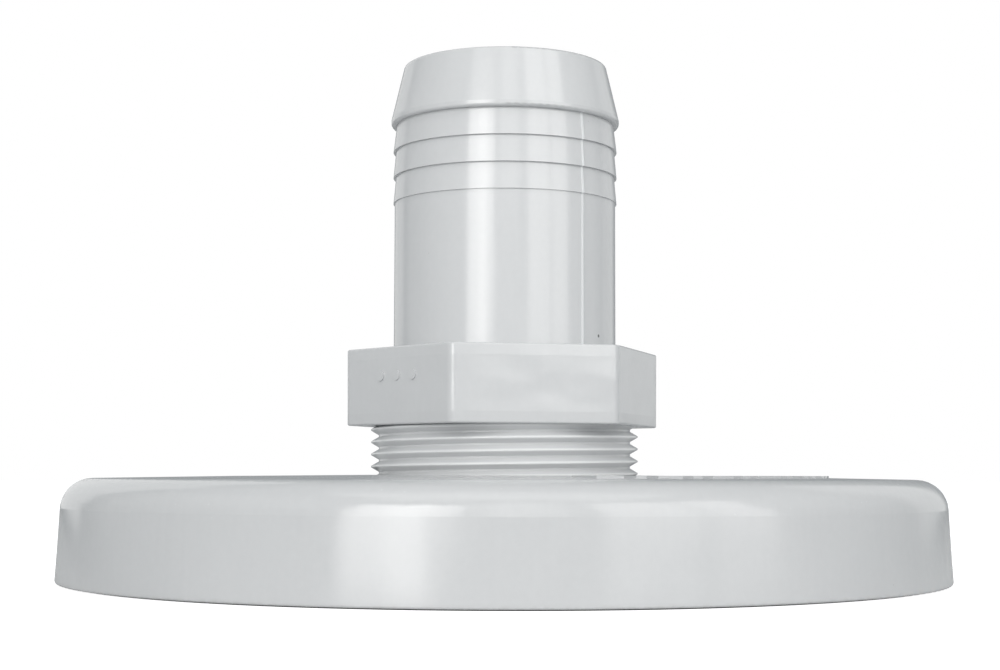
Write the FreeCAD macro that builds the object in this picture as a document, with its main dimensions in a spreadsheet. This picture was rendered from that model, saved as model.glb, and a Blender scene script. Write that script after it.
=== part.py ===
import FreeCAD, Part

import math
import os

import Sketcher

# Thru hull fitting: a round dish that seals round a hull opening by its rim, with a barbed
# hose adapter screwed into the threaded boss at its centre.
# +Z runs up the fitting's axis to the hose end, and the origin is the centre of the plane
# that the rim gasket rests on. Lengths are millimetres and angles are degrees.
# An azimuth of 0 is the -Y side, and it grows towards +X.

DRIVING_SIZES = {
    # the dish's outside
    "rim_radius": (79.3, "outer radius of the skirt at its lower edge"),
    "rim_lift": (0.2, "how far the gasket holds the skirt off the surface"),
    "skirt_draft": (4.0, "lean of the skirt's outer face"),
    "edge_height": (18.0, "height of the top face at its outer edge"),
    "edge_rounding": (5.5, "radius between the skirt and the top face"),
    "crown_rise": (0.83, "how far the top face's middle stands above its edge"),
    "rim_rounding": (0.35, "radius on the skirt's lower edges"),
    # the dish's inside
    "top_wall": (3.4, "thickness of the top"),
    "skirt_inner_radius": (74.7, "inner radius of the skirt at its lower edge"),
    "core_draft": (1.5, "lean of the moulded inner faces"),
    "boss_radius": (29.6, "radius of the threaded boss at its lower end"),
    "boss_lift": (1.0, "height of the boss's lower end"),
    "inner_rounding": (2.0, "radius under the top, at the skirt and at the boss"),
    "boss_rounding": (1.2, "radius on the boss's lower edge"),
    "rib_count": (8, "stiffening ribs from the boss to the skirt"),
    "rib_thickness": (2.4, "thickness of a rib"),
    "rib_drop": (5.6, "height of a rib below the underside of the top"),
    # the gasket and its groove
    "groove_outer_radius": (78.2, "outer wall of the gasket groove"),
    "groove_inner_radius": (75.7, "inner wall of the gasket groove"),
    "groove_depth": (2.0, "depth of the gasket groove"),
    "gasket_play": (0.1, "gap between the gasket and its groove"),
    "gasket_rounding": (0.2, "radius on the gasket's lower edges"),
    # the thread, right-handed, 11 1/2 turns to the inch
    "thread_pitch": (2.2087, "distance from one turn to the next"),
    "thread_radius": (24.15, "crest radius of the adapter's thread"),
    "thread_depth": (1.4, "crest to root"),
    "thread_crest": (0.25, "width of the flat on a crest"),
    "thread_flank": (30.0, "angle of a flank from the radial plane"),
    "thread_play": (0.3, "radial gap between the two threads"),
    "thread_sink": (0.2, "how far a swept ridge starts below its root"),
    "adapter_crest": (5.853, "height of the adapter's first swept crest, on the +X side"),
    "adapter_turns": (10.5, "turns swept for the adapter's thread"),
    "boss_turns": (5.6, "turns swept for the boss's thread"),
    "thread_start": (7.9, "height where the adapter's thread starts"),
    "mouth_radius": (25.0, "radius of the chamfer where the adapter enters the boss"),
    "relief_top": (9.2, "height where the boss's thread runs out into its relief"),
    "relief_floor": (7.1, "height of the relief's floor"),
    "relief_radius": (24.7, "radius of the relief"),
    # the seal between the adapter's nose and the boss
    "seal_bore_radius": (21.85, "smooth bore that the O-ring seals against"),
    "seal_bore_top": (6.2, "height where that bore starts to widen"),
    "ledge_height": (2.4, "height of the ledge that stops the adapter"),
    "ledge_radius": (17.4, "radius of the opening through the ledge"),
    "nose_height": (2.7, "height of the adapter's lower end when it is home"),
    "nose_radius": (21.7, "radius of the adapter's plain nose"),
    "nose_chamfer": (0.4, "chamfer round the nose"),
    "gland_low": (3.4, "lower wall of the O-ring groove"),
    "gland_high": (6.1, "upper wall of the O-ring groove"),
    "gland_radius": (19.5, "floor radius of the O-ring groove"),
    "ring_play": (0.05, "gap inside and outside the seated O-ring"),
    "ring_side_play": (0.12, "gap below and above the seated O-ring"),
    "ring_rounding": (0.9, "radius on the seated O-ring's section"),
    # the hexagon
    "hex_low": (27.5, "height of the hexagon's lower face"),
    "hex_high": (41.0, "height of the hexagon's upper face"),
    "hex_flats": (50.0, "width across flats"),
    "hex_turn": (42.0, "azimuth of the corner that the parting line runs through"),
    "hex_corner_rounding": (1.8, "radius on the hexagon's upright edges"),
    "hex_rim_rounding": (0.35, "radius round the hexagon's upper and lower faces"),
    # the hose tail
    "bore_radius": (16.6, "the passage through the adapter"),
    "bore_chamfer": (0.6, "chamfer at both ends of the passage"),
    "shank_low_radius": (20.16, "radius of the tail at the hexagon"),
    "shank_high_radius": (19.98, "radius of the tail under the lowest barb"),
    "small_barb_low": (67.76, "height of the lowest barb's edge"),
    "small_barb_pitch": (4.65, "spacing of the small barbs"),
    "small_barb_radius": (20.22, "radius of a small barb's edge"),
    "small_barb_neck": (19.78, "radius where a small barb meets the next one"),
    "neck_radius": (19.63, "radius under the leading barb"),
    "lead_barb_low": (81.77, "height of the leading barb's lower face"),
    "lead_barb_radius": (20.6, "radius of the leading barb"),
    "lead_barb_land": (1.0, "height of the leading barb's straight band"),
    "lead_barb_rounding": (0.5, "radius under the leading barb's edge"),
    "tail_top": (92.42, "height of the tail's end"),
    "tail_top_radius": (18.25, "radius of the tail's end before it is rounded"),
    "tail_top_rounding": (0.5, "radius round the tail's end"),
    # the parting line of the adapter's mould
    "seam_rise": (0.14, "how far the parting line stands out of the tail"),
    "seam_angle": (0.8, "arc of the tail that the parting line covers"),
    # plain raised marks
    "bar_inner_radius": (46.0, "inner end of the raised bars on the top face"),
    "bar_length": (12.0, "radial length of a raised bar"),
    "bar_rise": (0.28, "height of a raised bar over the top face"),
    "wide_bar_width": (4.4, "width of a wide bar"),
    "narrow_bar_width": (1.8, "width of a narrow bar"),
    "first_bar": (16.0, "azimuth of the first wide bar"),
    "bar_step": (10.0, "angle from one wide bar to the next"),
    "pip_radius": (0.9, "radius of a raised pip on the hexagon"),
    "pip_spacing": (4.4, "distance between the pips"),
    "pip_height": (36.0, "height of the row of pips"),
    "pip_rise": (0.25, "how far a pip stands out of the hexagon's face"),
}
SMALL_BARBS = 3
WIDE_BARS = 7
PIPS = 3

doc = FreeCAD.newDocument("ThruHullFitting")


# A number with the spreadsheet expression that gives it, so that a sketch can be drawn in
# its place and bound to the sheet at once.
class Size:
    def __init__(self, value, text):
        self.value = value
        self.text = text

    def __add__(self, other):
        other = as_size(other)
        return Size(self.value + other.value, f"({self.text} + {other.text})")

    def __sub__(self, other):
        other = as_size(other)
        return Size(self.value - other.value, f"({self.text} - {other.text})")

    def __mul__(self, other):
        other = as_size(other)
        return Size(self.value * other.value, f"({self.text} * {other.text})")

    def __truediv__(self, other):
        other = as_size(other)
        return Size(self.value / other.value, f"({self.text} / {other.text})")

    def __neg__(self):
        return Size(-self.value, f"(-1 * {self.text})")


def as_size(number):
    return number if isinstance(number, Size) else Size(float(number), f"{float(number)}")


def tangent(angle):
    angle = as_size(angle)
    return Size(math.tan(math.radians(angle.value)), f"tan({angle.text} * 1 deg)")


def cosine(angle):
    angle = as_size(angle)
    return Size(math.cos(math.radians(angle.value)), f"cos({angle.text} * 1 deg)")


def sine(angle):
    angle = as_size(angle)
    return Size(math.sin(math.radians(angle.value)), f"sin({angle.text} * 1 deg)")


def make_sheet():
    sheet = doc.addObject("Spreadsheet::Sheet", "Sizes")
    sizes = {}
    for row, (alias, (value, note)) in enumerate(DRIVING_SIZES.items(), start=1):
        sheet.set(f"A{row}", alias)
        sheet.set(f"B{row}", str(value))
        sheet.setAlias(f"B{row}", alias)
        sheet.set(f"C{row}", note)
        sizes[alias] = Size(float(value), f"Sizes.{alias}")
    doc.recompute()
    return sizes


size = make_sheet()


def new_body(label):
    body = doc.addObject("PartDesign::Body", label)
    body.Label = label
    return body


def origin_feature(body, role):
    return next(f for f in body.Origin.OriginFeatures if f.Role == role)


# A sketch on one of the body's own planes, raised along the plane's normal and turned
# about one of the sketch's own directions.
def new_sketch(body, name, role, raised=0.0, turned=0.0, about=(0, 0, 1)):
    sketch = body.newObject("Sketcher::SketchObject", name)
    sketch.AttachmentSupport = (origin_feature(body, role), [""])
    sketch.MapMode = "FlatFace"
    raised = as_size(raised)
    turned = as_size(turned)
    sketch.AttachmentOffset = FreeCAD.Placement(
        FreeCAD.Vector(0, 0, raised.value),
        FreeCAD.Rotation(FreeCAD.Vector(*about), turned.value),
    )
    if raised.value:
        sketch.setExpression("AttachmentOffset.Base.z", raised.text)
    if turned.value:
        sketch.setExpression("AttachmentOffset.Rotation.Angle", f"{turned.text} * 1 deg")
    return sketch


# Holds one point of a drawn edge at (across, up) from the sketch's origin.
def pin_point(sketch, edge, point, across, up):
    for kind, axis, place in (("DistanceX", -2, across), ("DistanceY", -1, up)):
        place = as_size(place)
        if place.value == 0:
            sketch.addConstraint(Sketcher.Constraint("PointOnObject", edge, point, axis))
            continue
        rule = Sketcher.Constraint(kind, -1, 1, edge, point, place.value)
        number = sketch.addConstraint(rule)
        sketch.setExpression(f"Constraints[{number}]", place.text)


# An arc from start to finish, anticlockwise, about a point on the upright axis.
def crown_arc(start, finish):
    centre_up = (
        (finish.x ** 2 + finish.y ** 2 - start.x ** 2 - start.y ** 2)
        / (2 * (finish.y - start.y))
    )
    centre = FreeCAD.Vector(0, centre_up, 0)
    circle = Part.Circle(centre, FreeCAD.Vector(0, 0, 1), start.distanceToPoint(centre))
    from_angle = math.atan2(start.y - centre_up, start.x)
    to_angle = math.atan2(finish.y - centre_up, finish.x)
    return Part.ArcOfCircle(circle, from_angle, to_angle)


# Draws a closed anticlockwise outline through points. The edges whose numbers are in
# arcs are crown arcs and the others are straight.
def draw_outline(sketch, points, arcs=()):
    places = [FreeCAD.Vector(as_size(a).value, as_size(b).value, 0) for a, b in points]
    count = len(places)
    first = sketch.GeometryCount
    for n, start in enumerate(places):
        finish = places[(n + 1) % count]
        edge = crown_arc(start, finish) if n in arcs else Part.LineSegment(start, finish)
        sketch.addGeometry(edge)
    for n in range(count):
        following = first + (n + 1) % count
        sketch.addConstraint(Sketcher.Constraint("Coincident", first + n, 2, following, 1))
    for n, (across, up) in enumerate(points):
        pin_point(sketch, first + n, 1, across, up)
    for n in arcs:
        sketch.addConstraint(Sketcher.Constraint("PointOnObject", first + n, 3, -2))


def rectangle(left, low, right, high):
    return [(left, low), (right, low), (right, high), (left, high)]


# Turns an outline of (radius, height) points about the axis, adding or removing material.
def revolve(body, kind, name, points, arcs=(), start=0.0, angle=360.0):
    sketch = new_sketch(body, name + "_section", "XZ_Plane", turned=start, about=(0, 1, 0))
    draw_outline(sketch, points, arcs)
    feature = body.newObject(kind, name)
    feature.Profile = sketch
    feature.ReferenceAxis = (sketch, ["V_Axis"])
    feature.setExpression("Angle", as_size(angle).text)
    doc.recompute()
    return feature


def pad(body, name, sketch, length, midplane=False):
    feature = body.newObject("PartDesign::Pad", name)
    feature.Profile = sketch
    feature.SideType = "Symmetric" if midplane else "One side"
    feature.setExpression("Length", as_size(length).text)
    doc.recompute()
    return feature


# Repeats a feature about the body's Z axis, over an angle or the whole way round.
def repeat_round(body, name, feature, count, span=360.0):
    pattern = body.newObject("PartDesign::PolarPattern", name)
    pattern.Originals = [feature]
    pattern.Axis = (origin_feature(body, "Z_Axis"), [""])
    pattern.Mode = "Extent"
    span = as_size(span)
    pattern.setExpression("Angle", span.text)
    pattern.setExpression("Occurrences", as_size(count).text)
    body.Tip = pattern
    doc.recompute()
    return pattern


# True for a level circular edge of this radius and height.
def is_ring(edge, radius, height):
    return (
        isinstance(edge.Curve, Part.Circle)
        and abs(edge.Curve.Radius - as_size(radius).value) < 0.02
        and abs(edge.Curve.Center.z - as_size(height).value) < 0.02
    )


# Rounds every edge of the body's tip that the test accepts. A degenerate edge is the
# single point where a revolved face meets the axis.
def round_edges(body, name, radius, test):
    base = body.Tip
    names = [
        f"Edge{n}" for n, edge in enumerate(base.Shape.Edges, start=1)
        if not edge.Degenerated and test(edge)
    ]
    if not names:
        raise ValueError(f"{name} found no edge to round")
    fillet = body.newObject("PartDesign::Fillet", name)
    fillet.Base = (base, names)
    fillet.setExpression("Radius", as_size(radius).text)
    doc.recompute()
    return fillet


# Sweeps a truncated 60 degree ridge round the axis, as a right-handed thread.
def sweep_thread(body, kind, name, crest_radius, crest_height, turns):
    half_crest = size["thread_crest"] / 2
    reach = size["thread_depth"] + size["thread_sink"]
    half_root = half_crest + reach * tangent(size["thread_flank"])
    root_radius = crest_radius - reach
    sketch = new_sketch(body, name + "_section", "XZ_Plane")
    draw_outline(sketch, [
        (root_radius, crest_height - half_root),
        (crest_radius, crest_height - half_crest),
        (crest_radius, crest_height + half_crest),
        (root_radius, crest_height + half_root),
    ])
    helix = body.newObject(kind, name)
    helix.Profile = sketch
    helix.ReferenceAxis = (sketch, ["V_Axis"])
    helix.Mode = "pitch-turns-angle"
    helix.setExpression("Pitch", size["thread_pitch"].text)
    helix.setExpression("Turns", turns.text)
    helix.Angle = 0
    doc.recompute()
    return helix


# flange_dish: the moulded dish with its threaded boss

def make_flange_dish():
    body = new_body("flange_dish")
    rim_radius = size["rim_radius"]
    rim_lift = size["rim_lift"]
    edge_height = size["edge_height"]
    crown_height = edge_height + size["crown_rise"]
    underside = edge_height - size["top_wall"]
    edge_radius = rim_radius - (edge_height - rim_lift) * tangent(size["skirt_draft"])
    lean = tangent(size["core_draft"])
    boss_root_radius = size["boss_radius"] + (underside - size["boss_lift"]) * lean
    skirt_root_radius = size["skirt_inner_radius"] - (underside - rim_lift) * lean
    revolve(body, "PartDesign::Revolution", "dish_blank", [
        (0, size["boss_lift"]),
        (size["boss_radius"], size["boss_lift"]),
        (boss_root_radius, underside),
        (skirt_root_radius, underside),
        (size["skirt_inner_radius"], rim_lift),
        (rim_radius, rim_lift),
        (edge_radius, edge_height),
        (0, crown_height),
    ], arcs=[6])
    round_edges(body, "top_edge_rounding", size["edge_rounding"],
                lambda edge: is_ring(edge, edge_radius, edge_height))
    round_edges(body, "inner_rounding", size["inner_rounding"],
                lambda edge: is_ring(edge, boss_root_radius, underside)
                or is_ring(edge, skirt_root_radius, underside))
    round_edges(body, "boss_rounding", size["boss_rounding"],
                lambda edge: is_ring(edge, size["boss_radius"], size["boss_lift"]))
    round_edges(body, "rim_rounding", size["rim_rounding"],
                lambda edge: is_ring(edge, size["skirt_inner_radius"], rim_lift)
                or is_ring(edge, rim_radius, rim_lift))

    rib_sketch = new_sketch(body, "rib_side", "XZ_Plane")
    draw_outline(rib_sketch, rectangle(
        size["boss_radius"] - 2, underside - size["rib_drop"],
        size["skirt_inner_radius"] + 1, underside + 1,
    ))
    rib = pad(body, "rib", rib_sketch, size["rib_thickness"], midplane=True)
    repeat_round(body, "ribs", rib, size["rib_count"])

    revolve(body, "PartDesign::Groove", "gasket_groove", rectangle(
        size["groove_inner_radius"], rim_lift - 1,
        size["groove_outer_radius"], rim_lift + size["groove_depth"],
    ))

    # raised bars on the top face, a wide one and a narrow one by turns
    bar_outer_radius = size["bar_inner_radius"] + size["bar_length"]
    bar_base = edge_height - 1
    bar_top = edge_height + size["crown_rise"] * 0.55 + size["bar_rise"]
    rows = (
        ("wide", size["wide_bar_width"], size["first_bar"], WIDE_BARS),
        ("narrow", size["narrow_bar_width"], size["first_bar"] + size["bar_step"] / 2,
         WIDE_BARS - 1),
    )
    for row, width, azimuth, count in rows:
        sketch = new_sketch(body, row + "_bar_outline", "XY_Plane", raised=bar_base,
                            turned=azimuth - 90)
        draw_outline(sketch, rectangle(
            size["bar_inner_radius"], -(width / 2), bar_outer_radius, width / 2,
        ))
        bar = pad(body, row + "_bar", sketch, bar_top - bar_base)
        repeat_round(body, row + "_bars", bar, count, size["bar_step"] * (count - 1))

    # the passage: an opening in the ledge, the seal's bore, a relief and the thread's core
    core_radius = size["thread_radius"] - size["thread_depth"] + size["thread_play"]
    groove_radius = size["thread_radius"] + size["thread_play"]
    mouth_radius = size["mouth_radius"]
    revolve(body, "PartDesign::Groove", "passage", [
        (0, size["boss_lift"] - 2),
        (size["ledge_radius"], size["boss_lift"] - 2),
        (size["ledge_radius"], size["ledge_height"]),
        (size["seal_bore_radius"], size["ledge_height"]),
        (size["seal_bore_radius"], size["seal_bore_top"]),
        (core_radius, size["relief_floor"]),
        (size["relief_radius"], size["relief_floor"]),
        (size["relief_radius"], size["relief_top"]),
        (core_radius, size["relief_top"] + (size["relief_radius"] - core_radius)),
        (core_radius, crown_height - (mouth_radius - core_radius)),
        (mouth_radius, crown_height),
        (mouth_radius, crown_height + 2),
        (0, crown_height + 2),
    ])
    sweep_thread(body, "PartDesign::SubtractiveHelix", "boss_thread", groove_radius,
                 size["adapter_crest"] + size["thread_pitch"], size["boss_turns"])
    return body


# rim_gasket: the soft ring that the fitting stands on

def make_rim_gasket():
    body = new_body("rim_gasket")
    play = size["gasket_play"]
    inner_radius = size["groove_inner_radius"] + play
    outer_radius = size["groove_outer_radius"] - play
    high = size["rim_lift"] + size["groove_depth"] - play
    revolve(body, "PartDesign::Revolution", "gasket_ring",
            rectangle(inner_radius, 0, outer_radius, high))
    round_edges(body, "gasket_rounding", size["gasket_rounding"],
                lambda edge: is_ring(edge, inner_radius, 0)
                or is_ring(edge, outer_radius, 0))
    return body


# adapter_o_ring: the seal in the adapter's nose, as it sits squeezed

def make_adapter_o_ring():
    body = new_body("adapter_o_ring")
    inner_radius = size["gland_radius"] + size["ring_play"]
    outer_radius = size["seal_bore_radius"] - size["ring_play"]
    low = size["gland_low"] + size["ring_side_play"]
    high = size["gland_high"] - size["ring_side_play"]
    revolve(body, "PartDesign::Revolution", "seal_ring",
            rectangle(inner_radius, low, outer_radius, high))
    round_edges(body, "seal_rounding", size["ring_rounding"],
                lambda edge: isinstance(edge.Curve, Part.Circle))
    return body


# hose_adapter: nose, thread, hexagon and barbed tail in one moulding

def make_hose_adapter():
    body = new_body("hose_adapter")
    root_radius = size["thread_radius"] - size["thread_depth"]
    nose_low = size["nose_height"]
    nose_radius = size["nose_radius"]
    chamfer = size["nose_chamfer"]
    hex_low = size["hex_low"]
    hex_high = size["hex_high"]
    lead_low = size["lead_barb_low"]
    lead_radius = size["lead_barb_radius"]
    barbs = []
    for n in range(SMALL_BARBS):
        last = n == SMALL_BARBS - 1
        barb_low = size["small_barb_low"] + size["small_barb_pitch"] * n
        barb_high = lead_low if last else barb_low + size["small_barb_pitch"]
        barbs.append((size["small_barb_radius"], barb_low))
        barbs.append((size["neck_radius"] if last else size["small_barb_neck"], barb_high))
    revolve(body, "PartDesign::Revolution", "adapter_blank", [
        (0, nose_low),
        (nose_radius - chamfer, nose_low),
        (nose_radius, nose_low + chamfer),
        (nose_radius, size["thread_start"]),
        (root_radius, size["thread_start"]),
        (root_radius, hex_low + 2),
        (size["shank_low_radius"], hex_low + 2),
        (size["shank_high_radius"], size["small_barb_low"]),
        *barbs,
        (lead_radius, lead_low),
        (lead_radius, lead_low + size["lead_barb_land"]),
        (size["tail_top_radius"], size["tail_top"]),
        (0, size["tail_top"]),
    ])
    round_edges(body, "lead_barb_rounding", size["lead_barb_rounding"],
                lambda edge: is_ring(edge, lead_radius, lead_low))
    round_edges(body, "tail_top_rounding", size["tail_top_rounding"],
                lambda edge: is_ring(edge, size["tail_top_radius"], size["tail_top"]))

    sketch = new_sketch(body, "hexagon_outline", "XY_Plane", raised=hex_low,
                        turned=size["hex_turn"] - 90)
    corner_radius = size["hex_flats"] / 2 / cosine(30)
    draw_outline(sketch, [
        (corner_radius * cosine(60 * n), corner_radius * sine(60 * n) if n % 3 else 0)
        for n in range(6)
    ])
    pad(body, "hexagon", sketch, hex_high - hex_low)
    round_edges(body, "hexagon_corners", size["hex_corner_rounding"],
                lambda edge: isinstance(edge.Curve, Part.Line)
                and abs(edge.tangentAt(edge.FirstParameter).z) > 0.99
                and edge.Vertexes[0].Point.x ** 2 + edge.Vertexes[0].Point.y ** 2
                > size["thread_radius"].value ** 2)
    round_edges(body, "hexagon_rims", size["hex_rim_rounding"],
                lambda edge: abs(edge.BoundBox.ZLength) < 0.001
                and edge.BoundBox.ZMin > hex_low.value - 0.001
                and edge.BoundBox.ZMax < hex_high.value + 0.001
                and math.hypot(edge.Vertexes[0].Point.x, edge.Vertexes[0].Point.y)
                > size["thread_radius"].value)

    # the mould's parting line, a fine upright ridge that follows both sides of the tail
    rise = size["seam_rise"]
    seam = revolve(body, "PartDesign::Revolution", "seam", [
        (nose_radius - 3, hex_high - 1),
        (size["shank_low_radius"] + rise, hex_high - 1),
        (size["shank_high_radius"] + rise, size["small_barb_low"]),
        *[(radius + rise, height) for radius, height in barbs],
        (nose_radius - 3, lead_low),
    ], start=size["hex_turn"] - 90, angle=size["seam_angle"])
    repeat_round(body, "seams", seam, 2)

    # a row of plain pips on the hexagon's face next to the seam
    sketch = new_sketch(body, "pip_outline", "XZ_Plane", turned=size["hex_turn"] - 90,
                        about=(0, 1, 0))
    for n in range(PIPS):
        across = size["pip_spacing"] * (n - (PIPS - 1) / 2)
        centre = FreeCAD.Vector(across.value, size["pip_height"].value, 0)
        circle = Part.Circle(centre, FreeCAD.Vector(0, 0, 1), size["pip_radius"].value)
        edge = sketch.addGeometry(circle)
        pin_point(sketch, edge, 3, across, size["pip_height"])
        rule = Sketcher.Constraint("Radius", edge, size["pip_radius"].value)
        number = sketch.addConstraint(rule)
        sketch.setExpression(f"Constraints[{number}]", size["pip_radius"].text)
    pad(body, "pips", sketch, size["hex_flats"] / 2 + size["pip_rise"])

    revolve(body, "PartDesign::Groove", "seal_gland", rectangle(
        size["gland_radius"], size["gland_low"],
        nose_radius + 1, size["gland_high"],
    ))
    bore_radius = size["bore_radius"]
    bore_chamfer = size["bore_chamfer"]
    tail_top = size["tail_top"]
    revolve(body, "PartDesign::Groove", "flow_bore", [
        (0, nose_low - 1),
        (bore_radius + bore_chamfer + 1, nose_low - 1),
        (bore_radius, nose_low + bore_chamfer),
        (bore_radius, tail_top - bore_chamfer),
        (bore_radius + bore_chamfer + 1, tail_top + 1),
        (0, tail_top + 1),
    ])
    sweep_thread(body, "PartDesign::AdditiveHelix", "adapter_thread",
                 size["thread_radius"], size["adapter_crest"], size["adapter_turns"])
    # clears the swept ridge off the plain nose and chamfers the first turn
    clear_radius = size["thread_radius"] + 1
    revolve(body, "PartDesign::Groove", "thread_lead_in", [
        (nose_radius, nose_low - 1),
        (clear_radius, nose_low - 1),
        (clear_radius, size["thread_start"] + (clear_radius - root_radius)),
        (root_radius, size["thread_start"]),
        (nose_radius, size["thread_start"]),
    ])
    return body


def check_model():
    for thing in doc.Objects:
        wrong = [flag for flag in thing.State if flag in ("Invalid", "Error")]
        if wrong:
            raise RuntimeError(f"{thing.Name} is {wrong}")
    for body in bodies:
        if body.Shape.isNull() or not body.Shape.isValid():
            raise RuntimeError(f"{body.Label} has no valid shape")
        if len(body.Shape.Solids) != 1:
            raise RuntimeError(f"{body.Label} is {len(body.Shape.Solids)} solids")


bodies = [
    make_flange_dish(),
    make_rim_gasket(),
    make_adapter_o_ring(),
    make_hose_adapter(),
]
doc.recompute()
check_model()
os.makedirs("parts", exist_ok=True)
for body in bodies:
    body.Shape.exportStep(f"parts/{body.Label}.step")
    box = body.Shape.BoundBox
    print(f"{body.Label}: {box.XLength:.2f} x {box.YLength:.2f} x {box.ZLength:.2f},"
          f" from z {box.ZMin:.2f}, volume {body.Shape.Volume:.0f}")
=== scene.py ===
import math

import bpy
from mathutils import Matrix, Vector

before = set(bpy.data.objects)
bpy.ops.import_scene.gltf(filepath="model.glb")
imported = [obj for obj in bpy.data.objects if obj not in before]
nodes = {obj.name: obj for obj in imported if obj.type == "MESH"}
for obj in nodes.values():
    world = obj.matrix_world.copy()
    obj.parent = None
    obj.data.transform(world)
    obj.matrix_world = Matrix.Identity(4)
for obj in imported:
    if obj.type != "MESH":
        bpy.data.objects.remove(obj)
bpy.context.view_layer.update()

# A thru hull fitting: a sealing dish on its gasket, and a hose adapter screwed into the dish.
# Metres throughout; +Z is up the fitting's axis and the camera stands on the -Y side.
bpy.ops.object.select_all(action="DESELECT")
print("frame loaded:", ", ".join(sorted(nodes)))


def startMaterial(name):
    mat = bpy.data.materials.new(name)
    mat.use_nodes = True
    tree = mat.node_tree
    tree.nodes.clear()
    out = tree.nodes.new("ShaderNodeOutputMaterial")
    shader = tree.nodes.new("ShaderNodeBsdfPrincipled")
    tree.links.new(shader.outputs["BSDF"], out.inputs["Surface"])
    return mat, tree, shader


# a node with its inputs filled in: a socket is linked, anything else is set
def addNode(tree, kind, inputs=None, **settings):
    node = tree.nodes.new(kind)
    for key, value in settings.items():
        setattr(node, key, value)
    for key, value in (inputs or {}).items():
        if isinstance(value, bpy.types.NodeSocket):
            tree.links.new(value, node.inputs[key])
        else:
            node.inputs[key].default_value = value
    return node


# coordinates on the piece, cut into cells of this size, in metres
def cells(tree, size, tilt=(0, 0, 0), start=(0, 0, 0)):
    where = addNode(tree, "ShaderNodeTexCoord").outputs["Object"]
    node = addNode(tree, "ShaderNodeMapping", vector_type="TEXTURE", inputs={
        "Vector": where, "Location": start, "Rotation": tilt, "Scale": size,
    })
    return node.outputs["Vector"]


def noise(tree, where, detail=3.0, roughness=0.5):
    node = addNode(tree, "ShaderNodeTexNoise", inputs={
        "Vector": where, "Scale": 1.0, "Detail": detail, "Roughness": roughness,
    })
    return node.outputs["Fac"]


def remap(tree, value, fromLow, fromHigh, toLow=0.0, toHigh=1.0):
    node = addNode(tree, "ShaderNodeMapRange", clamp=True, inputs={
        "Value": value, "From Min": fromLow, "From Max": fromHigh,
        "To Min": toLow, "To Max": toHigh,
    })
    return node.outputs["Result"]


def maths(tree, kind, first, second):
    node = addNode(tree, "ShaderNodeMath", operation=kind, inputs={0: first, 1: second})
    return node.outputs["Value"]


def mixColour(tree, factor, first, second):
    rgba = [(*value, 1.0) if isinstance(value, tuple) else value for value in (first, second)]
    node = addNode(tree, "ShaderNodeMix", data_type="RGBA",
                   inputs={"Factor": factor, 6: rgba[0], 7: rgba[1]})
    return node.outputs[2]


# spots round the middles of cells: 1 inside, 0 outside; share is the part of the cells in use
def spots(tree, where, radius, share):
    node = addNode(tree, "ShaderNodeTexVoronoi", inputs={"Vector": where, "Scale": 1.0})
    inside = remap(tree, node.outputs["Distance"], radius * 0.5, radius, 1.0, 0.0)
    pick = addNode(tree, "ShaderNodeSeparateColor", inputs={"Color": node.outputs["Color"]})
    used = maths(tree, "LESS_THAN", pick.outputs["Red"], share)
    return maths(tree, "MULTIPLY", inside, used)


# 1 where the value lies between low and high, with soft ends
def between(tree, value, low, high, soft):
    rise = remap(tree, value, low - soft, low + soft)
    fall = remap(tree, value, high - soft, high + soft, 1.0, 0.0)
    return maths(tree, "MULTIPLY", rise, fall)


# distance from the fitting's axis, and height
def placeOnFitting(tree):
    where = addNode(tree, "ShaderNodeTexCoord").outputs["Object"]
    flat = addNode(tree, "ShaderNodeVectorMath", operation="MULTIPLY",
                   inputs={0: where, 1: (1, 1, 0)}).outputs["Vector"]
    radius = addNode(tree, "ShaderNodeVectorMath", operation="LENGTH", inputs={0: flat})
    height = addNode(tree, "ShaderNodeSeparateXYZ", inputs={"Vector": where})
    return radius.outputs["Value"], height.outputs["Z"]


# one bump from several heights, each with its depth in millimetres
def relief(tree, shader, heights):
    total = None
    for height, depth in heights:
        part = maths(tree, "MULTIPLY", height, depth)
        total = part if total is None else maths(tree, "ADD", total, part)
    node = addNode(tree, "ShaderNodeBump",
                   inputs={"Height": total, "Distance": 0.001, "Strength": 1.0})
    tree.links.new(node.outputs["Normal"], shader.inputs["Normal"])


def giveMaterial(node, mat):
    nodes[node].data.materials.clear()
    nodes[node].data.materials.append(mat)


# What both mouldings share: the sizes of the pattern's cells in metres, and the strengths of
# the marks. A draw line is long up the fitting.
moulding = {
    "cloudSize": (0.022, 0.022, 0.022),
    "drawSize": (0.0016, 0.0016, 0.05),
    "mottleSize": (0.0011, 0.0011, 0.0011),
    "grainSize": (0.00025, 0.00025, 0.00025),
    "sinkSize": (0.011, 0.011, 0.007),
    "fleckSize": (0.005, 0.005, 0.005),
    "fleckRadius": 0.026,
    "fleckShare": 0.7,
    "fleckStrength": 0.45,
    "scuffTilt": (0.5, 0.35, 0.0),
    "scuffRadius": 0.055,
    "scuffShare": 0.6,
    "scuffStrength": 0.5,
    "scuffRoughness": 0.2,
    "scuffDepth": -0.01,
}


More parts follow.
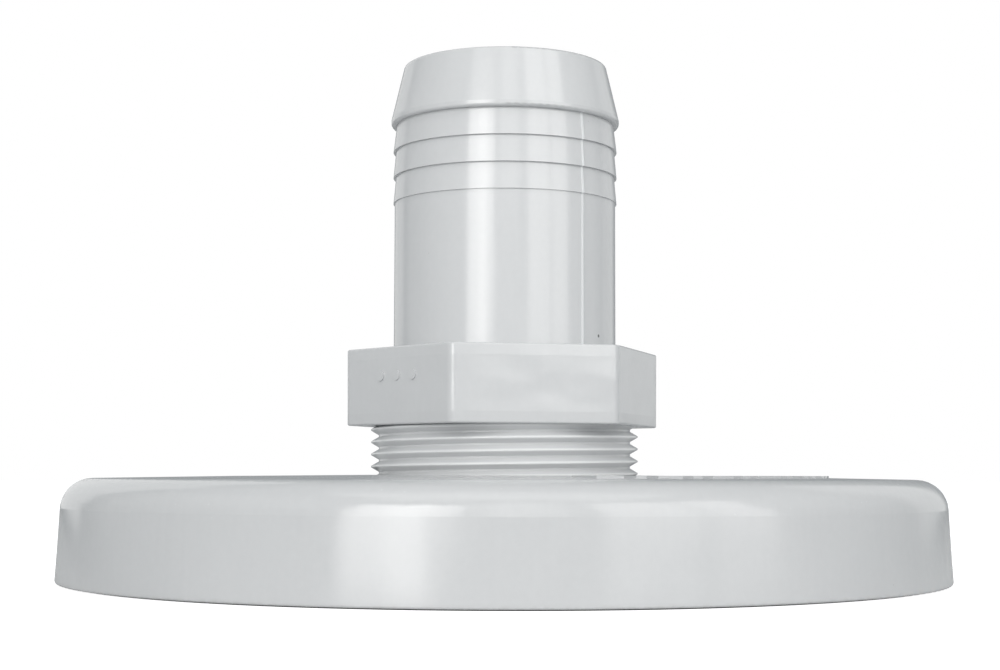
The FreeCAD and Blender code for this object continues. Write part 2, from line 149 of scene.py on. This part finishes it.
# Moulded grey plastic. The marks are (mask, colour, strength) laid over it in turn.
def mouldedPlastic(name, look, marksOn):
    mat, tree, shader = startMaterial(name)
    start = look["patternStart"]
    cloud = noise(tree, cells(tree, moulding["cloudSize"], start=start), 3.0, 0.5)
    draw = noise(tree, cells(tree, moulding["drawSize"], start=start), 2.0, 0.5)
    mottle = noise(tree, cells(tree, moulding["mottleSize"], start=start), 3.0, 0.65)
    grain = noise(tree, cells(tree, moulding["grainSize"], start=start), 2.0, 0.6)
    tone = maths(tree, "ADD", maths(tree, "MULTIPLY", cloud, 0.45),
                 maths(tree, "ADD", maths(tree, "MULTIPLY", draw, 0.2),
                       maths(tree, "MULTIPLY", mottle, 0.35)))
    colour = mixColour(tree, remap(tree, tone, 0.36, 0.64), look["deep"], look["pale"])
    fleck = spots(tree, cells(tree, moulding["fleckSize"], start=start),
                  moulding["fleckRadius"], moulding["fleckShare"])
    scuff = spots(tree, cells(tree, look["scuffSize"], moulding["scuffTilt"], start),
                  moulding["scuffRadius"], moulding["scuffShare"])
    radius, height = placeOnFitting(tree)
    scuff = maths(tree, "MULTIPLY", scuff, between(tree, height, *look["scuffBand"], 0.001))
    marks = [(fleck, look["fleck"], moulding["fleckStrength"]),
             (scuff, look["scuff"], moulding["scuffStrength"])]
    marks += marksOn(tree, radius, height, mottle)
    for mask, paint, strength in marks:
        colour = mixColour(tree, maths(tree, "MULTIPLY", mask, strength), colour, paint)
    tree.links.new(colour, shader.inputs["Base Color"])
    rough = remap(tree, maths(tree, "ADD", cloud, mottle), 0.75, 1.25, *look["roughness"])
    rough = maths(tree, "ADD", rough,
                  maths(tree, "MULTIPLY", scuff, moulding["scuffRoughness"]))
    tree.links.new(rough, shader.inputs["Roughness"])
    shader.inputs["IOR"].default_value = look["ior"]
    sink = noise(tree, cells(tree, moulding["sinkSize"], start=start), 1.0, 0.4)
    sink = maths(tree, "MULTIPLY", sink, between(tree, height, *look["sinkBand"], 0.001))
    relief(tree, shader, [
        (cloud, look["waveDepth"]), (draw, look["drawDepth"]), (sink, look["sinkDepth"]),
        (mottle, look["mottleDepth"]), (grain, look["grainDepth"]),
        (scuff, moulding["scuffDepth"]),
    ])
    return mat


dish = {
    # the dish's greys are a little darker than the adapter's though both are one plastic:
    # painted shade, for the skirt taking more light
    "pale": (0.580, 0.590, 0.599),
    "deep": (0.556, 0.567, 0.577),
    "fleck": (0.30, 0.30, 0.30),
    "scuff": (0.72, 0.74, 0.75),
    # painted shade, laid at the foot of the skirt and round the threaded hole
    "paintedShade": (0.30, 0.30, 0.29),
    "roughness": (0.13, 0.19),
    "ior": 1.58,
    "patternStart": (0.013, 0.041, 0.007),
    "scuffSize": (0.008, 0.0012, 0.0012),
    "scuffBand": (0.012, 0.0178),      # along the rounded edge
    "sinkBand": (0.0, 0.0175),
    "footBand": (-0.001, 0.0006),      # heights at the foot of the skirt
    "footStrength": 0.35,
    "wellBand": (0.020, 0.0262),       # radii round the threaded hole
    "wellStrength": 0.45,
    "sinkDepth": 0.02,                 # millimetres, as are the other depths
    "waveDepth": 0.05,
    "drawDepth": 0.002,
    "mottleDepth": 0.0015,
    "grainDepth": 0.0006,
}


# painted shade at the foot of the skirt, and a little where the adapter goes in
def dishMarks(tree, radius, height, mottle):
    foot = between(tree, height, *dish["footBand"], 0.0004)
    well = between(tree, radius, *dish["wellBand"], 0.0008)
    patchy = remap(tree, mottle, 0.35, 0.7)
    return [
        (maths(tree, "MULTIPLY", foot, patchy), dish["paintedShade"], dish["footStrength"]),
        (maths(tree, "MULTIPLY", well, patchy), dish["paintedShade"], dish["wellStrength"]),
    ]


giveMaterial("flange_dish", mouldedPlastic("dishPlastic", dish, dishMarks))
print("dish: plastic done")

adapter = {
    # the adapter's greys are a little paler than the dish's though both are one plastic: painted
    # light, for the hexagon and tail taking less light
    "pale": (0.609, 0.619, 0.629),
    "deep": (0.585, 0.597, 0.607),
    "fleck": (0.30, 0.30, 0.30),
    "scuff": (0.73, 0.75, 0.76),
    # painted shade, laid in the thread's roots and under each barb
    "paintedShade": (0.26, 0.26, 0.25),
    "roughness": (0.13, 0.19),
    "ior": 1.58,
    "patternStart": (0.031, 0.017, 0.023),
    "scuffSize": (0.0012, 0.0012, 0.009),
    "scuffBand": (0.082, 0.0905),      # the leading barb
    "sinkBand": (0.0285, 0.040),       # the hexagon's faces
    "threadBand": (0.008, 0.0273),
    # painted light: the whole thread is painted paler to stand for the light it catches from
    # below
    "paintedThreadLight": (0.690, 0.700, 0.708),
    # painted highlight along the thread's crests
    "crest": (0.86, 0.865, 0.87),
    "crestRadii": (0.02375, 0.0240),   # none at the first radius, full at the second
    "rootRadii": (0.0229, 0.0234),     # full at the first radius, none at the second
    "neckRadii": (0.01960, 0.01984),
    "barbBand": (0.0665, 0.0820),
    "threadStrength": 0.7,             # of the thread's painted light and the crests' painted highlight
    "rootStrength": 0.05,
    "neckStrength": 0.12,
    # paler stripe on the real parting-line ridge: a painted highlight
    "paintedSeamHighlight": (0.80, 0.82, 0.83),
    "flashAzimuth": 42.0,
    "flashBand": (0.0412, 0.0818),
    "flashHalfWidths": (0.00012, 0.00022),
    "seamHighlightStrength": 0.7,
    "speck": (0.05, 0.05, 0.05),
    "speckAzimuth": 55.0,
    "speckHeight": 0.0432,
    "speckRadius": 0.00034,
    "speckStrength": 0.85,
    "tailRadius": 0.0201,
    "sinkDepth": 0.25,
    "waveDepth": 0.012,
    "drawDepth": 0.003,
    "mottleDepth": 0.001,
    "grainDepth": 0.0005,
}


# a thread painted paler for the light it catches, painted highlights on its crests, painted
# shade in its roots and under each barb, a painted highlight on the real parting-line ridge, and
# one dark speck low on the tail
def adapterMarks(tree, radius, height, mottle):
    patchy = remap(tree, mottle, 0.3, 0.7, 0.5, 1.0)
    thread = between(tree, height, *adapter["threadBand"], 0.0002)
    crests = maths(tree, "MULTIPLY", remap(tree, radius, *adapter["crestRadii"]), thread)
    roots = remap(tree, radius, *adapter["rootRadii"], 1.0, 0.0)
    roots = maths(tree, "MULTIPLY", roots, thread)
    necks = maths(tree, "MULTIPLY", remap(tree, radius, *adapter["neckRadii"], 1.0, 0.0),
                  between(tree, height, *adapter["barbBand"], 0.0003))
    turn = math.radians(adapter["flashAzimuth"])
    where = addNode(tree, "ShaderNodeTexCoord").outputs["Object"]
    side = addNode(tree, "ShaderNodeVectorMath", operation="DOT_PRODUCT",
                   inputs={0: where, 1: (math.cos(turn), math.sin(turn), 0)})
    side = maths(tree, "ABSOLUTE", side.outputs["Value"], 0.0)
    paintedSeamHighlight = remap(tree, side, *adapter["flashHalfWidths"], 1.0, 0.0)
    paintedSeamHighlight = maths(tree, "MULTIPLY", paintedSeamHighlight, between(tree, height, *adapter["flashBand"], 0.0002))
    turn = math.radians(adapter["speckAzimuth"])
    out = adapter["tailRadius"]
    middle = (out * math.sin(turn), -out * math.cos(turn), adapter["speckHeight"])
    away = addNode(tree, "ShaderNodeVectorMath", operation="DISTANCE",
                   inputs={0: where, 1: middle}).outputs["Value"]
    speck = remap(tree, away, adapter["speckRadius"] * 0.6, adapter["speckRadius"], 1.0, 0.0)
    return [
        (thread, adapter["paintedThreadLight"], adapter["threadStrength"]),
        (crests, adapter["crest"], adapter["threadStrength"]),
        # painted shade in the thread's roots and under each barb
        (maths(tree, "MULTIPLY", roots, patchy), adapter["paintedShade"], adapter["rootStrength"]),
        (maths(tree, "MULTIPLY", necks, patchy), adapter["paintedShade"], adapter["neckStrength"]),
        # painted highlight on the real parting-line ridge
        (paintedSeamHighlight, adapter["paintedSeamHighlight"], adapter["seamHighlightStrength"]),
        (speck, adapter["speck"], adapter["speckStrength"]),
    ]


giveMaterial("hose_adapter", mouldedPlastic("adapterPlastic", adapter, adapterMarks))
print("adapter: plastic done")

gasket = {
    "pale": (0.050, 0.050, 0.052),
    "deep": (0.020, 0.020, 0.021),
    "dust": (0.16, 0.16, 0.155),
    "roughness": (0.5, 0.75),
    "grainDepth": 0.012,
    "cloudSize": 0.011,
}
oRing = {
    "pale": (0.034, 0.034, 0.036),
    "deep": (0.012, 0.012, 0.013),
    "dust": (0.08, 0.08, 0.08),
    "roughness": (0.32, 0.5),
    "grainDepth": 0.006,
    "cloudSize": 0.004,
}


# black rubber with a pale bloom, fine grain and some dust
def softRubber(name, look):
    mat, tree, shader = startMaterial(name)
    size = look["cloudSize"]
    bloom = noise(tree, cells(tree, (size, size, size)), 6.0, 0.65)
    grain = noise(tree, cells(tree, (0.00045, 0.00045, 0.00045)), 2.0, 0.6)
    dust = spots(tree, cells(tree, (0.0016, 0.0016, 0.0016)), 0.09, 0.5)
    colour = mixColour(tree, remap(tree, bloom, 0.4, 0.7), look["deep"], look["pale"])
    colour = mixColour(tree, dust, colour, look["dust"])
    tree.links.new(colour, shader.inputs["Base Color"])
    rough = remap(tree, bloom, 0.3, 0.7, *look["roughness"])
    tree.links.new(rough, shader.inputs["Roughness"])
    relief(tree, shader, [(grain, look["grainDepth"]), (bloom, look["grainDepth"])])
    return mat


giveMaterial("rim_gasket", softRubber("gasketRubber", gasket))
giveMaterial("adapter_o_ring", softRubber("oRingRubber", oRing))
print("gasket and O-ring: rubber done")

studio = {
    "floorSize": 8.0,
    "floorPale": (0.66, 0.665, 0.67),
    "floorDeep": (0.63, 0.635, 0.64),
    "floorRough": 0.9,
    "floorGlow": 0.86,      # only the camera sees it, on top of the light on the floor
    "skyGlow": 0.30,        # the room's light
    "skyColour": (0.90, 0.965, 1.0),
    "white": (1.0, 1.0, 1.0),
    "skyWhite": 1.0,        # the backdrop that the camera sees
}
bpy.ops.mesh.primitive_plane_add(size=studio["floorSize"], location=(0, 0, 0))
floor = bpy.context.object
floor.name = "studioFloor"
floorMat, floorTree, floorShader = startMaterial("floorPaper")
paper = noise(floorTree, cells(floorTree, (0.3, 0.3, 0.3)))
paper = mixColour(floorTree, paper, studio["floorDeep"], studio["floorPale"])
floorTree.links.new(paper, floorShader.inputs["Base Color"])
floorShader.inputs["Roughness"].default_value = studio["floorRough"]
floorShader.inputs["Emission Color"].default_value = (1, 1, 1, 1)
seen = addNode(floorTree, "ShaderNodeLightPath").outputs["Is Camera Ray"]
floorTree.links.new(maths(floorTree, "MULTIPLY", seen, studio["floorGlow"]),
                    floorShader.inputs["Emission Strength"])
floor.data.materials.append(floorMat)

world = bpy.data.worlds.new("studioSky")
bpy.context.scene.world = world
world.use_nodes = True
skyTree = world.node_tree
skyTree.nodes.clear()
skyShades = [
    addNode(skyTree, "ShaderNodeBackground",
            inputs={"Color": (*studio[tint], 1), "Strength": studio[glow]}).outputs["Background"]
    for tint, glow in (("skyColour", "skyGlow"), ("white", "skyWhite"))
]
skySeen = addNode(skyTree, "ShaderNodeLightPath").outputs["Is Camera Ray"]
skyMix = addNode(skyTree, "ShaderNodeMixShader",
                 inputs={0: skySeen, 1: skyShades[0], 2: skyShades[1]})
addNode(skyTree, "ShaderNodeOutputWorld", inputs={"Surface": skyMix.outputs["Shader"]})

# Upright soft panels round the fitting: azimuth 0 is the camera's side and grows to the
# right, and each faces the axis. Its low and high ends and its width are in metres.
uprightPanels = {
    "keyLeft": {"azimuth": -32.6, "low": 0.080, "high": 1.0, "width": 0.235, "glow": 4.5},
    "keyRight": {"azimuth": -22.2, "low": 0.080, "high": 1.0, "width": 0.205, "glow": 6.0},
    "keyEdge": {"azimuth": -13.8, "low": 0.148, "high": 1.0, "width": 0.112, "glow": 4.4},
    "fillNear": {"azimuth": 35.4, "low": 0.103, "high": 1.2, "width": 0.510, "glow": 2.4},
    "fillFar": {"azimuth": 58.4, "low": 0.094, "high": 1.2, "width": 0.370, "glow": 2.4},
    "frontWall": {"azimuth": 5.0, "low": 0.250, "high": 1.3, "width": 0.420, "glow": 1.25},
    "leftWall": {"azimuth": -85.0, "low": 0.050, "high": 1.2, "width": 1.600, "glow": 0.175},
    "rightWall": {"azimuth": 98.0, "low": 0.050, "high": 1.2, "width": 1.100, "glow": 0.12},
    "backLeft": {"azimuth": -146.0, "low": 0.020, "high": 1.2, "width": 0.720, "glow": 0.60},
    "backRight": {"azimuth": 137.0, "low": 0.020, "high": 1.2, "width": 0.600, "glow": 0.54},
}
panelColour = (1.0, 0.985, 0.968)
panelDistance = 1.2

# flat panels overhead: the middle's y, and the size in x and y
overheadPanels = {
    "topFront": {"y": -0.55, "width": 1.5, "depth": 0.9, "glow": 1.05},
    "topBack": {"y": 0.50, "width": 1.5, "depth": 0.9, "glow": 0.15},
}
overheadHeight = 1.5


# a soft panel of even radiance that faces the point it is aimed at
def softPanel(name, place, aim, width, depth, glow):
    data = bpy.data.lights.new(name, "AREA")
    data.shape = "RECTANGLE"
    data.size = width
    data.size_y = depth
    data.energy = glow * math.pi * width * depth
    data.color = panelColour
    lamp = bpy.data.objects.new(name, data)
    bpy.context.scene.collection.objects.link(lamp)
    lamp.location = place
    lamp.rotation_euler = (aim - place).to_track_quat("-Z", "Y").to_euler()


for name, panel in uprightPanels.items():
    turn = math.radians(panel["azimuth"])
    middle = (panel["low"] + panel["high"]) / 2
    place = Vector((math.sin(turn) * panelDistance, -math.cos(turn) * panelDistance, middle))
    softPanel(name, place, Vector((0, 0, middle)), panel["width"],
              panel["high"] - panel["low"], panel["glow"])
for name, panel in overheadPanels.items():
    place = Vector((0, panel["y"], overheadHeight))
    softPanel(name, place, Vector((0, panel["y"], 0)), panel["width"], panel["depth"],
              panel["glow"])
print("studio: floor, sky and panels done")

camera = {
    "distance": 0.327,
    "height": 0.01896,
    "lens": 64.8,           # millimetres, as is the sensor
    "sensor": 36.0,
    "shift": (-0.0043, 0.139),
    "roll": -0.14,
}
camData = bpy.data.cameras.new("studioCamera")
camData.lens = camera["lens"]
camData.sensor_width = camera["sensor"]
camData.shift_x, camData.shift_y = camera["shift"]
camData.clip_start = 0.01
camObj = bpy.data.objects.new("studioCamera", camData)
bpy.context.scene.collection.objects.link(camObj)
camObj.location = (0, -camera["distance"], camera["height"])
camObj.rotation_euler = (math.radians(90), math.radians(camera["roll"]), 0)
bpy.context.scene.camera = camObj
bpy.context.scene.view_settings.view_transform = "Standard"
print("camera done")

bpy.context.view_layer.update()
